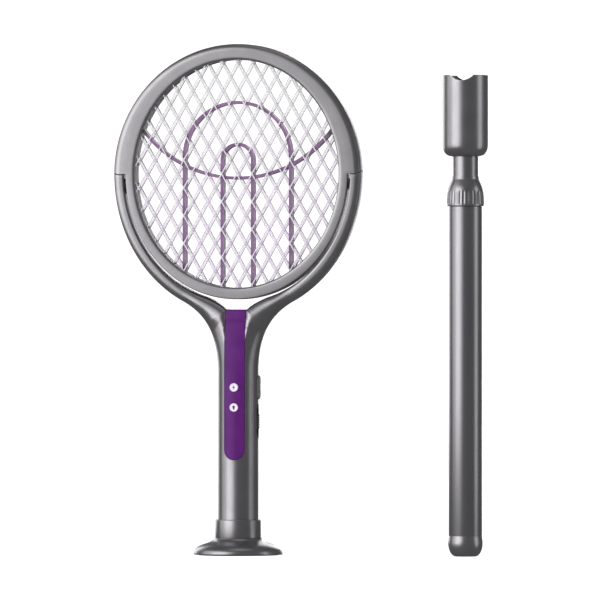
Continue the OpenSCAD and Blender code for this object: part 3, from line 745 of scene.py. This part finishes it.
def light_panel(skin):
    """Violet cover over the LEDs with rounded edges; its top turns back over the saddle."""
    thick, edge, bend = 1.9, 0.6, 1.6
    top = HEAD_Z - SADDLE - 0.02
    low_centre = PANEL_LOW.z + PANEL_R
    heights = [low_centre - PANEL_R * math.cos(math.pi / 2 * i / 14) for i in range(15)]
    rows = 56
    heights += [low_centre + (top - bend - low_centre) * i / rows for i in range(1, rows + 1)]
    crown = GRIP_R - math.sqrt(GRIP_R**2 - PANEL_R**2)
    shares = [0.0, 0.02, 0.045, 0.08] + [0.08 + 0.92 * i / 8 for i in range(1, 9)]
    across = [s - 1 for s in shares] + [1 - s for s in reversed(shares[:-1])]
    front, back = [], []
    for z in heights:
        dz = min(z - low_centre, 0.0)
        half = math.sqrt(max(PANEL_R * PANEL_R - dz * dz, 0.0004))
        swell = crown * (1 - 0.85 * eased((z - low_centre) / (top - low_centre)))
        sides = depth_of_skin(skin, PANEL_R + 0.1, max(z, low_centre))
        for u in across:
            x = u * half
            s = limited((PANEL_R - math.hypot(x, dz)) / edge)
            lift = 0.12 - 0.5 * (1 - math.sqrt(1 - (1 - s) ** 2))
            y = sides - swell * (1 - (x / PANEL_R) ** 2) - lift
            front.append((x, y, z))
            back.append((x, y + thick, z))
    n = len(across)
    last, last_back = front[-n:], back[-n:]
    for i in range(1, 7):
        a = math.pi / 2 * i / 6
        front += [(x, y + bend * (1 - math.cos(a)), top - bend + bend * math.sin(a)) for x, y, z in last]
        back += [(x, y + (PANEL_BACK - y) * i / 7, z) for x, y, z in last_back]
    front += [(x, PANEL_BACK, top) for x, y, z in last]
    back += [(x, PANEL_BACK, top - bend) for x, y, z in last]
    m = len(front) // n
    points = front + back
    base = len(front)
    faces = []
    for i in range(m - 1):
        for k in range(n - 1):
            a = i * n + k
            faces.append((a, a + 1, a + n + 1, a + n))
            faces.append((base + a, base + a + n, base + a + n + 1, base + a + 1))
    rim = list(range(n)) + [i * n + n - 1 for i in range(1, m)]
    rim += [(m - 1) * n + k for k in reversed(range(n - 1))] + [i * n for i in reversed(range(1, m - 1))]
    for a, b in zip(rim, rim[1:] + rim[:1]):
        faces.append((a, b, base + b, base + a))
    return clean(mesh_object("light_panel_cover", points, faces), merge=0.0005)


def panel_prism(grow, y0, y1):
    """The panel's outline as a solid across Y, open past the saddle."""
    r = PANEL_R + grow
    low_centre = PANEL_LOW.z + PANEL_R
    outline = [(r, PANEL_HIGH.z + 20)]
    outline += [(r * math.cos(a), low_centre + r * math.sin(a))
                for a in (-math.pi * i / 40 for i in range(41))]
    outline += [(-r, PANEL_HIGH.z + 20)]
    return loft([[(x, y, z) for x, z in outline] for y in (y0, y1)])


def x_bar(x0, x1, r, z0, z1):
    """A round-ended bar's outline extruded along X."""
    return loft([[(x, y, z) for y, z in stadium(r, z0, z1)] for x in (x0, x1)])


# ---------------------------------------------------------------- controls

def button(name, z, symbol):
    """Round panel button with a softly dished face; its symbol is inlaid."""
    r, y0 = BUTTON_R, box_mm(name)[0].y
    profile = [(0, 0.18)] + [(r * s, 0.18 - 0.1 * s * s) for s in (0.25, 0.5, 0.7)]
    profile += [(r * 0.8, 0.0), (r * 0.9, 0.04), (r * 0.97, 0.18), (r, 0.42), (r, 3.0), (0, 3.0)]
    rings = [[(q * a, y0 + d, z + q * b) for q, d in profile] for a, b in circle(1, 64)]
    body = clean(mesh_object(name + "_cap", *loft(rings, closed_path=True)))
    inlay = loft([[(x, y, z + h) for x, h in symbol] for y in (y0 + 0.03, y0 + 0.5)])
    return body, clean(mesh_object(name + "_symbol", *inlay))


BOLT_SYMBOL = [(0.5, 2.0), (-1.25, -0.25), (-0.15, -0.25), (-0.5, -2.0), (1.25, 0.3), (0.15, 0.3)]
LAMP_SYMBOL = (
    [(1.15 * math.cos(a), 0.55 + 1.15 * math.sin(a))
     for a in (math.radians(-50 + 280 * i / 20) for i in range(21))]
    + [(-0.62, -1.9), (0.62, -1.9)]
)


def pad(name, x0, x1, r, z0, z1, rounding, grooves):
    """Stadium-shaped pad facing +X with a rounded edge, grooved across at given heights."""
    rings = []
    for i in range(7):
        a = math.pi / 2 * i / 6
        inset, x = rounding * (1 - math.cos(a)), x1 - rounding + rounding * math.sin(a)
        rings.append([(x, y, z) for y, z in stadium(r - inset, z0 + inset, z1 - inset, 20)])
    rings.insert(0, [(x0, y, z) for y, z in stadium(r, z0, z1, 20)])
    obj = clean(mesh_object(name, *loft(rings)))
    floor, above = x1 - 0.6, x1 + 1
    cut(obj, [
        loft([[(floor, y, z - 0.35), (above, y, z - 0.55), (above, y, z + 0.55), (floor, y, z + 0.35)]
              for y in (-9, 9)])
        for z in grooves
    ])
    return obj


# ---------------------------------------------------------------- grids

def node_group(name, inputs):
    """A geometry node group with named inputs, and the sockets that they give."""
    group = bpy.data.node_groups.new(name, "GeometryNodeTree")
    for label, kind, value in inputs:
        socket = group.interface.new_socket(label, in_out="INPUT", socket_type=kind)
        if value is not None:
            socket.default_value = value
    group.interface.new_socket("Geometry", in_out="OUTPUT", socket_type="NodeSocketGeometry")
    return group, add_node(group, "NodeGroupInput", {}).outputs


def set_input(modifier, label, value):
    """Sets a modifier's input by its socket's identifier."""
    socket = next(s for s in modifier.node_group.interface.items_tree
                  if s.item_type == "SOCKET" and s.in_out == "INPUT" and s.name == label)
    modifier[socket.identifier] = value


def sum_of(tree, kind, *values):
    """One sum on sockets or plain numbers."""
    return add_node(tree, "ShaderNodeMath", dict(enumerate(values)), operation=kind).outputs[0]


def along(tree, axis, value):
    """A vector along one axis."""
    return add_node(tree, "ShaderNodeCombineXYZ", {axis: value}).outputs["Vector"]


def moved(tree, geometry, offset):
    """Geometry shifted by a vector."""
    node = add_node(tree, "GeometryNodeSetPosition", {"Geometry": geometry, "Offset": offset})
    return node.outputs["Geometry"]


def realized(tree, geometry):
    """Instances made real."""
    return add_node(tree, "GeometryNodeRealizeInstances", {"Geometry": geometry}).outputs["Geometry"]


def strand_family(tree, want, side):
    """Parallel strands that lean to one side, as fine curves at the grid's depth."""
    half_row = sum_of(tree, "DIVIDE", sum_of(tree, "SUBTRACT", want["Count"], 1), -2)
    row = add_node(tree, "GeometryNodeMeshLine", {
        "Count": want["Count"],
        "Start Location": along(tree, "X", sum_of(tree, "MULTIPLY", want["Pitch"], half_row)),
        "Offset": along(tree, "X", want["Pitch"]),
    }, mode="OFFSET")
    line = add_node(tree, "GeometryNodeCurvePrimitiveLine", {
        label: along(tree, "X", sum_of(tree, "MULTIPLY", want["Half height"], reach))
        for label, reach in (("Start", -1.35), ("End", 1.35))
    })
    lean = sum_of(tree, "ARCTAN2", want["Rise"], want["Pitch"])
    copies = add_node(tree, "GeometryNodeInstanceOnPoints", {
        "Points": row.outputs["Mesh"],
        "Instance": line.outputs["Curve"],
        "Rotation": along(tree, "Y", sum_of(tree, "MULTIPLY", lean, side)),
    })
    strands = realized(tree, copies.outputs["Instances"])
    fine = add_node(tree, "GeometryNodeResampleCurve", {"Curve": strands, "Length": 1.2 * MM}, mode="LENGTH")
    return moved(tree, fine.outputs["Curve"], along(tree, "Y", want["Depth"]))


def past_oval(tree, want):
    """True where a point lies outside the oval of the grid."""
    point = add_node(tree, "GeometryNodeInputPosition", {}).outputs["Position"]
    split = add_node(tree, "ShaderNodeSeparateXYZ", {"Vector": point})
    squares = [
        sum_of(tree, "POWER", sum_of(tree, "DIVIDE", split.outputs[axis], want[half]), 2)
        for axis, half in (("X", "Half width"), ("Z", "Half height"))
    ]
    outside = add_node(tree, "FunctionNodeCompare", {"A": sum_of(tree, "ADD", *squares), "B": 1.0},
                       data_type="FLOAT", operation="GREATER_THAN")
    return outside.outputs["Result"]


def lattice_tree():
    """Two families of slanting strands, trimmed to an oval and raised to the head's height."""
    kinds = [(label, "NodeSocketFloat", 0.0) for label in
             ("Pitch", "Rise", "Strand", "Half width", "Half height", "Depth", "Centre")]
    kinds += [("Count", "NodeSocketInt", STRAND_COUNT), ("Finish", "NodeSocketMaterial", None)]
    tree, want = node_group("diamond_lattice", kinds)
    strands = add_node(tree, "GeometryNodeJoinGeometry", {})
    for side in (-1, 1):
        tree.links.new(strand_family(tree, want, side), strands.inputs["Geometry"])
    trim = add_node(tree, "GeometryNodeDeleteGeometry", {
        "Geometry": strands.outputs["Geometry"],
        "Selection": past_oval(tree, want),
    }, domain="POINT")
    wire = add_node(tree, "GeometryNodeCurvePrimitiveCircle", {
        "Resolution": 6,
        "Radius": sum_of(tree, "DIVIDE", want["Strand"], 2),
    })
    skin = add_node(tree, "GeometryNodeCurveToMesh", {
        "Curve": trim.outputs["Geometry"],
        "Profile Curve": wire.outputs["Curve"],
        "Fill Caps": True,
    })
    raised = realized(tree, moved(tree, skin.outputs["Mesh"], along(tree, "Z", want["Centre"])))
    finish = add_node(tree, "GeometryNodeSetMaterial", {"Geometry": raised, "Material": want["Finish"]})
    add_node(tree, "NodeGroupOutput", {"Geometry": finish.outputs["Geometry"]})
    return tree


def grid(name, tree, depth, strand):
    """One diamond grid at a depth from the middle plane."""
    obj = mesh_object(name, [(0, 0, 0)], [])
    step = obj.modifiers.new("lattice", "NODES")
    step.node_group = tree
    sizes = {"Pitch": STRAND_PITCH, "Rise": STRAND_RISE, "Strand": strand, "Depth": depth,
             "Half width": OPEN_W + STRAND_HOLD, "Half height": OPEN_H + STRAND_HOLD, "Centre": HEAD_Z}
    for label, value in sizes.items():
        set_input(step, label, value * MM)
    set_input(step, "Count", STRAND_COUNT)
    set_input(step, "Finish", GRID_SILVER)
    bake(obj)
    return smooth(obj, math.radians(60))


# ---------------------------------------------------------------- dock and pole

def socket_slot(half_width, r, z, y0, y1):
    """A round-ended slot across Y for the charging inlet."""
    steps = 12
    outline = [(side * (half_width + r * math.cos(a)), z + side * r * math.sin(a))
               for side in (1, -1) for a in (math.pi * (i / steps - 0.5) for i in range(steps + 1))]
    return loft([[(x, y, b) for x, b in outline] for y in (y0, y1)])


def dock_pieces():
    """The dock's flared shell with its inlet slot, and the collar round its socket."""
    low, high = box_mm("dock_shell")
    radius, top, rim = high.x, high.z, low.z
    collar_low, collar_high = box_mm("dock_collar")
    collar, seat = collar_high.x, collar_low.z
    flare = [bezier((radius, 1.9), (radius - 0.8, 11), (collar + 3, 9.5), (collar + 0.9, top), i / 28)
             for i in range(29)]
    inside = [(x - 2.2, z - 0.5) for x, z in flare if z < 10.6]
    profile = [(radius - 1.2, rim)] + arc((radius - 0.9, rim + 0.9), (0.9, 0.9), -90, 0, 5)
    profile += flare + [(GRIP_BORE, top), (GRIP_BORE, 13), (0, 13), (0, 11), (19, 11)]
    profile += list(reversed(inside)) + [(radius - 2.3, rim)]
    shell = lathe("dock_flare", profile, 160)
    cut(shell, [socket_slot(4.7, 1.9, 5.0, radius - 9, radius + 2)])
    ring = [(GRIP_BORE, seat), (collar - 0.5, seat)] + arc((collar - 0.5, seat + 0.5), (0.5, 0.5), -90, 0, 4)
    ring += arc((collar - 0.8, collar_high.z - 0.8), (0.8, 0.8), 0, 90, 6) + [(GRIP_BORE, collar_high.z)]
    return shell, lathe("dock_collar_ring", ring, 160)


def pole_foot(foot_r, tube_r, top):
    """Rounded foot that closes the pole's lower end."""
    profile = [(0, 0)]
    profile += [bezier((9, 0), (13, 0.4), (foot_r - 0.2, 6), (foot_r, 12), i / 18) for i in range(19)]
    profile += [bezier((foot_r, 12), (foot_r, 14.5), (tube_r + 0.2, 15.5), (tube_r + 0.02, top - 0.1), i / 8)
                for i in range(1, 9)]
    profile += [(tube_r - 0.05, top), (13, top), (13, 30), (0, 30)]
    return lathe("pole_foot_cap", profile, 96, POLE_X)


def outer_tube(tube_r, low, shoulder, high):
    """Outer tube, stepped in at the top where the nut screws on."""
    profile = [(13.2, low)] + arc((tube_r - 0.08, low + 0.08), (0.08, 0.08), -90, 0, 3)
    profile += arc((tube_r - 0.4, shoulder - 0.4), (0.4, 0.4), 0, 90, 4)
    profile += [(14.2, shoulder), (14.2, high), (13.2, high)]
    return lathe("pole_outer_tube", profile, 128, POLE_X)


def inner_tube(r, low, high):
    """Inner tube with slightly rounded ends."""
    wall, edge = 1.3, 0.3
    profile = [(r - wall, low)] + arc((r - edge, low + edge), (edge, edge), -90, 0, 3)
    profile += arc((r - edge, high - edge), (edge, edge), 0, 90, 3) + [(r - wall, high)]
    return lathe("pole_inner_tube", profile, 96, POLE_X)


def pole_cup(cup_r, tube_r, low, high):
    """Cup that takes the grip, with a rounded shoulder and a hollow rim in front and behind."""
    floor = low + 12.5
    profile = [(tube_r, low), (12.3, low)]
    profile += [bezier((12.6, low + 0.1), (17.6, low + 0.6), (cup_r, low + 4), (cup_r, low + 11.5), i / 16)
                for i in range(17)]
    profile += arc((cup_r - 0.5, high - 0.5), (0.5, 0.5), 0, 90, 4)
    profile += [(GRIP_BORE + 0.3, high), (GRIP_BORE, high - 0.3), (GRIP_BORE, floor), (0, floor)]
    profile += [(0, low + 8), (tube_r, low + 8)]
    cup = lathe("pole_cup", profile, 192, POLE_X)
    return cut(cup, [y_rod(POLE_X, -40, 40, high + 9.6, 14.6, 160)])


def pole_pieces():
    """Foot, outer tube, inner tube and cup, from the boxes of their CAD pieces."""
    tube_low, tube_high = box_mm("outer_tube")
    inner_low, inner_high = box_mm("inner_tube")
    cup_low, cup_high = box_mm("cup")
    tube_r, inner_r = radius_of("outer_tube"), radius_of("inner_tube")
    shoulder = box_mm("lock_nut")[0].z - 0.4
    return (
        pole_foot(radius_of("pole_foot"), tube_r, tube_low.z - 0.02),
        outer_tube(tube_r, tube_low.z, shoulder, tube_high.z),
        inner_tube(inner_r, inner_low.z, inner_high.z),
        pole_cup(radius_of("cup"), inner_r, cup_low.z, cup_high.z),
    )


def nut():
    """Twist-lock nut: a domed collar with fine grip ribs round its skirt."""
    low, high = box_mm("lock_nut")
    z0, z1 = low.z, high.z
    skirt = 16.75
    ribs, steps, groove = 32, 384, 0.4
    bore, skirt_bore = 11.83, 14.55
    outline = [(skirt_bore, z0, 0), (skirt - 0.5, z0, 0), (skirt - 0.15, z0 + 0.15, 0), (skirt, z0 + 0.5, 0)]
    outline += [(skirt, z0 + 1.2, 0), (skirt - 0.05, z0 + 1.7, 0.5), (skirt - 0.1, z0 + 2.6, 1),
                (skirt - 0.3, z0 + 8, 1), (skirt - 0.65, z0 + 12.2, 1), (skirt - 0.85, z0 + 13.4, 0.5)]
    outline += [(*bezier((skirt - 1.0, z0 + 14.2), (skirt - 1.5, z0 + 17.6), (bore + 2.1, z0 + 20.2),
                         (bore + 0.2, z1 - 2.2), i / 14), 0) for i in range(15)]
    outline += [(bore + 0.12, z1, 0), (bore, z1, 0), (bore, z1 - 4.6, 0), (skirt_bore, z1 - 9.5, 0)]
    rings = []
    for i in range(steps):
        a = 2 * math.pi * i / steps
        dip = groove * (0.5 - 0.5 * math.cos(ribs * a)) ** 0.7
        rings.append([(POLE_X + (r - dip * share) * math.cos(a), (r - dip * share) * math.sin(a), z)
                      for r, z, share in outline])
    return clean(mesh_object("twist_lock_nut", *loft(rings, closed_path=True)))


# ---------------------------------------------------------------- building

def build_racket():
    """Both shells with their openings, and the light panel."""
    front, skin = handle_shell("racket_front_shell", -1)
    back, _ = handle_shell("racket_back_shell", 1)
    trigger_low, trigger_high = box_mm("side_trigger")
    trigger_z = (trigger_low.z + trigger_high.z) / 2
    frame_low, frame_high = box_mm("slider_frame")
    slots = [x_bar(10, 30, 4.8, trigger_z - 11.3, trigger_z + 11.3),
             x_bar(10, 30, 4.9, frame_low.z - 0.2, frame_high.z + 0.2)]
    recesses = [x_rod(s * 99, s * 104.75, PIVOT_Z, 7.2) for s in (-1, 1)]
    bush_holes = [x_rod(s * 99, s * 107.0, PIVOT_Z, 5.02) for s in (-1, 1)]
    for shell in (front, back):
        for holes in (slots, recesses, bush_holes):
            cut(shell, holes)
    cut(back, [y_rod(x, 6.3, 40, z, 2.5, 32) for x, z in screw_places("handle_screws", 6.4)])
    cut(front, [panel_prism(0.15, -40, -5)])
    panel = light_panel(skin)
    for name in ("shock_button", "lamp_button"):
        low, high = box_mm(name)
        cut(panel, [y_rod(0, -40, 0, (low.z + high.z) / 2, BUTTON_R + 0.3)])
    place(front, "racket", GUNMETAL, "gunmetal_paint", "handle_front_shell")
    place(back, "racket", GUNMETAL, "gunmetal_paint", "handle_back_shell")
    place(panel, "racket", VIOLET_PANEL, "purple_lens", "light_panel")


def build_controls():
    """The two panel buttons with their symbols, the side trigger and the mode slider."""
    for node, body, symbol in (
        ("shock_button", "shock_key", BOLT_SYMBOL),
        ("lamp_button", "lamp_key", LAMP_SYMBOL),
    ):
        low, high = box_mm(node)
        cap, ink = button(node, (low.z + high.z) / 2, symbol)
        place(cap, body, BUTTON_PALE, "button_pale", node)
        place(ink, body, BUTTON_INK, "dark_plastic")
    low, high = box_mm("side_trigger")
    middle = (low.z + high.z) / 2
    trigger = pad("trigger_pad", 13.0, high.x, 4.45, middle - 10.9, middle + 10.9, 1.3,
                  [middle + 2.0 * k for k in (-1, 0, 1)])
    place(trigger, "trigger", TRIGGER_RUBBER, "dark_plastic", "side_trigger")
    low, high = box_mm("mode_slider")
    middle = (low.z + high.z) / 2
    slider = pad("slider_thumb", 12.0, high.x, 3.05, middle - 7, middle + 7, 0.7,
                 [middle + 2 * k for k in range(-2, 3)])
    place(slider, "slider", DARK_PLASTIC, "dark_plastic", "mode_slider")


def build_head():
    """Both halves of the ring and the three grids."""
    wells = [(x, z, HALF_DEPTH - 2.5) for x, z in screw_places("ring_screws", HALF_DEPTH - 1.6)]
    place(ring_frame("front_ring", -1), "head", GUNMETAL, "gunmetal_paint", "ring_front_frame")
    place(ring_frame("back_ring", 1, wells), "head", GUNMETAL, "gunmetal_paint", "ring_back_frame")
    tree = lattice_tree()
    for name, node, depth, strand in (
        ("front_grid", "front_mesh", -GRID_Y, OUTER_STRAND),
        ("live_grid", "hv_mesh", 0.0, LIVE_STRAND),
        ("back_grid", "back_mesh", GRID_Y, OUTER_STRAND),
    ):
        place(grid(name, tree, depth, strand), "head", GRID_SILVER, "mesh_silver", node)


def build_dock_and_pole():
    """The charging dock and the extension pole with its nut."""
    shell, collar = dock_pieces()
    place(shell, "root", GUNMETAL, "gunmetal_paint", "dock_shell")
    place(collar, "root", GUNMETAL, "gunmetal_paint", "dock_collar")
    foot, outer, inner, cup = pole_pieces()
    place(foot, "pole", GUNMETAL, "gunmetal_paint", "pole_foot")
    place(outer, "pole", TUBE_PAINT, "tube_metal", "outer_tube")
    place(inner, "pole_top", TUBE_PAINT, "tube_metal", "inner_tube")
    place(cup, "pole_top", GUNMETAL, "gunmetal_paint", "cup")
    place(nut(), "nut", GUNMETAL, "gunmetal_paint", "lock_nut")


# ---------------------------------------------------------------- studio

VIEW_TURN = math.radians(12.5)     # the camera stands this far to the right of the front
VIEW_CENTRE_Z = 0.2295
VIEW_CENTRE_ACROSS = 0.0555
VIEW_WIDTH = 0.540
CAMERA_FAR = 8.0
SENSOR = 36.0


def view_point(across, back, z):
    """A point given across and behind the view's middle line, as the camera sees it."""
    right = Vector((math.cos(VIEW_TURN), math.sin(VIEW_TURN), 0))
    away = Vector((-math.sin(VIEW_TURN), math.cos(VIEW_TURN), 0))
    return right * across + away * back + Vector((0, 0, z))


def add_camera():
    """A long lens, level, a little to the right of the front."""
    data = bpy.data.cameras.new("camera")
    data.sensor_width = SENSOR
    data.lens = SENSOR * CAMERA_FAR / VIEW_WIDTH
    data.clip_end = 50
    camera = bpy.data.objects.new("camera", data)
    bpy.context.scene.collection.objects.link(camera)
    camera.location = view_point(VIEW_CENTRE_ACROSS, -CAMERA_FAR, VIEW_CENTRE_Z)
    target = view_point(VIEW_CENTRE_ACROSS, 0, VIEW_CENTRE_Z)
    camera.rotation_euler = (target - camera.location).to_track_quat("-Z", "Y").to_euler()
    bpy.context.scene.camera = camera


def soft_light(name, turn, height, distance, width, tall, watts):
    """A softbox. turn is its direction from the camera's, positive to the right, in degrees."""
    data = bpy.data.lights.new(name, "AREA")
    data.shape = "RECTANGLE"
    data.size, data.size_y = width, tall
    data.energy = watts
    light = bpy.data.objects.new(name, data)
    bpy.context.scene.collection.objects.link(light)
    a = math.radians(turn)
    light.location = view_point(VIEW_CENTRE_ACROSS + distance * math.sin(a), -distance * math.cos(a), height)
    target = view_point(VIEW_CENTRE_ACROSS, 0, 0.23)
    light.rotation_euler = (target - light.location).to_track_quat("-Z", "Y").to_euler()


def add_stage():
    """Pale floor that rolls up into a pale wall, far off on every side."""
    reach, bend, height, steps = 14.5, 3.0, 12.0, 48
    line = [(0.0, 0.0), (5.0, 0.0), (reach - bend, 0.0)]
    line += [(reach - bend + bend * math.sin(a), bend * (1 - math.cos(a)))
             for a in (math.pi / 2 * i / 8 for i in range(1, 9))]
    line += [(reach, height)]
    rings = [[(r * math.cos(a), r * math.sin(a), z) for r, z in line]
             for a in (2 * math.pi * i / steps for i in range(steps))]
    points, faces = loft(rings, closed_ring=False, closed_path=True)
    mesh = bpy.data.meshes.new("studio_floor")
    mesh.from_pydata(points, [], faces)
    floor = bpy.data.objects.new("studio_floor", mesh)
    bpy.context.scene.collection.objects.link(floor)
    smooth(floor, math.radians(60))
    material, tree = new_material("studio_paper")
    tone = ramp(tree, noise(tree, 0.2), (0.3, (0.3, 0.3, 0.3)), (0.7, (0.33, 0.33, 0.33)))
    finish_shader(tree, Roughness=0.9, Specular_IOR_Level=0.0, Base_Color=tone,
                  Emission_Color=(1, 1, 1, 1), Emission_Strength=0.97)
    material.cycles.emission_sampling = "NONE"
    floor.data.materials.append(material)
    floor.visible_glossy = False


def add_lights():
    """A weak even sky and the softboxes: broad on the left, a strip on the right, two behind."""
    world = bpy.data.worlds.new("studio")
    bpy.context.scene.world = world
    world.use_nodes = True
    background = world.node_tree.nodes["Background"]
    background.inputs["Color"].default_value = (1, 1, 1, 1)
    background.inputs["Strength"].default_value = 0.115
    soft_light("left_wide", -62, 1.2, 3.6, 6.6, 3.6, 92)
    soft_light("left_core", -52, 0.9, 3.9, 2.8, 3.0, 46)
    soft_light("right_strip", 78, 0.5, 3.2, 1.3, 2.6, 15)
    soft_light("top_panel", 10, 2.6, 0.6, 1.4, 1.4, 3)
    soft_light("back_left", -150, 0.9, 3.2, 1.6, 2.0, 22)
    soft_light("back_right", 165, 0.8, 3.2, 1.2, 2.0, 20)


bpy.context.scene.view_settings.view_transform = "Standard"
dress_kept_nodes()
build_racket()
build_controls()
build_head()
build_dock_and_pole()
add_stage()
add_lights()
add_camera()
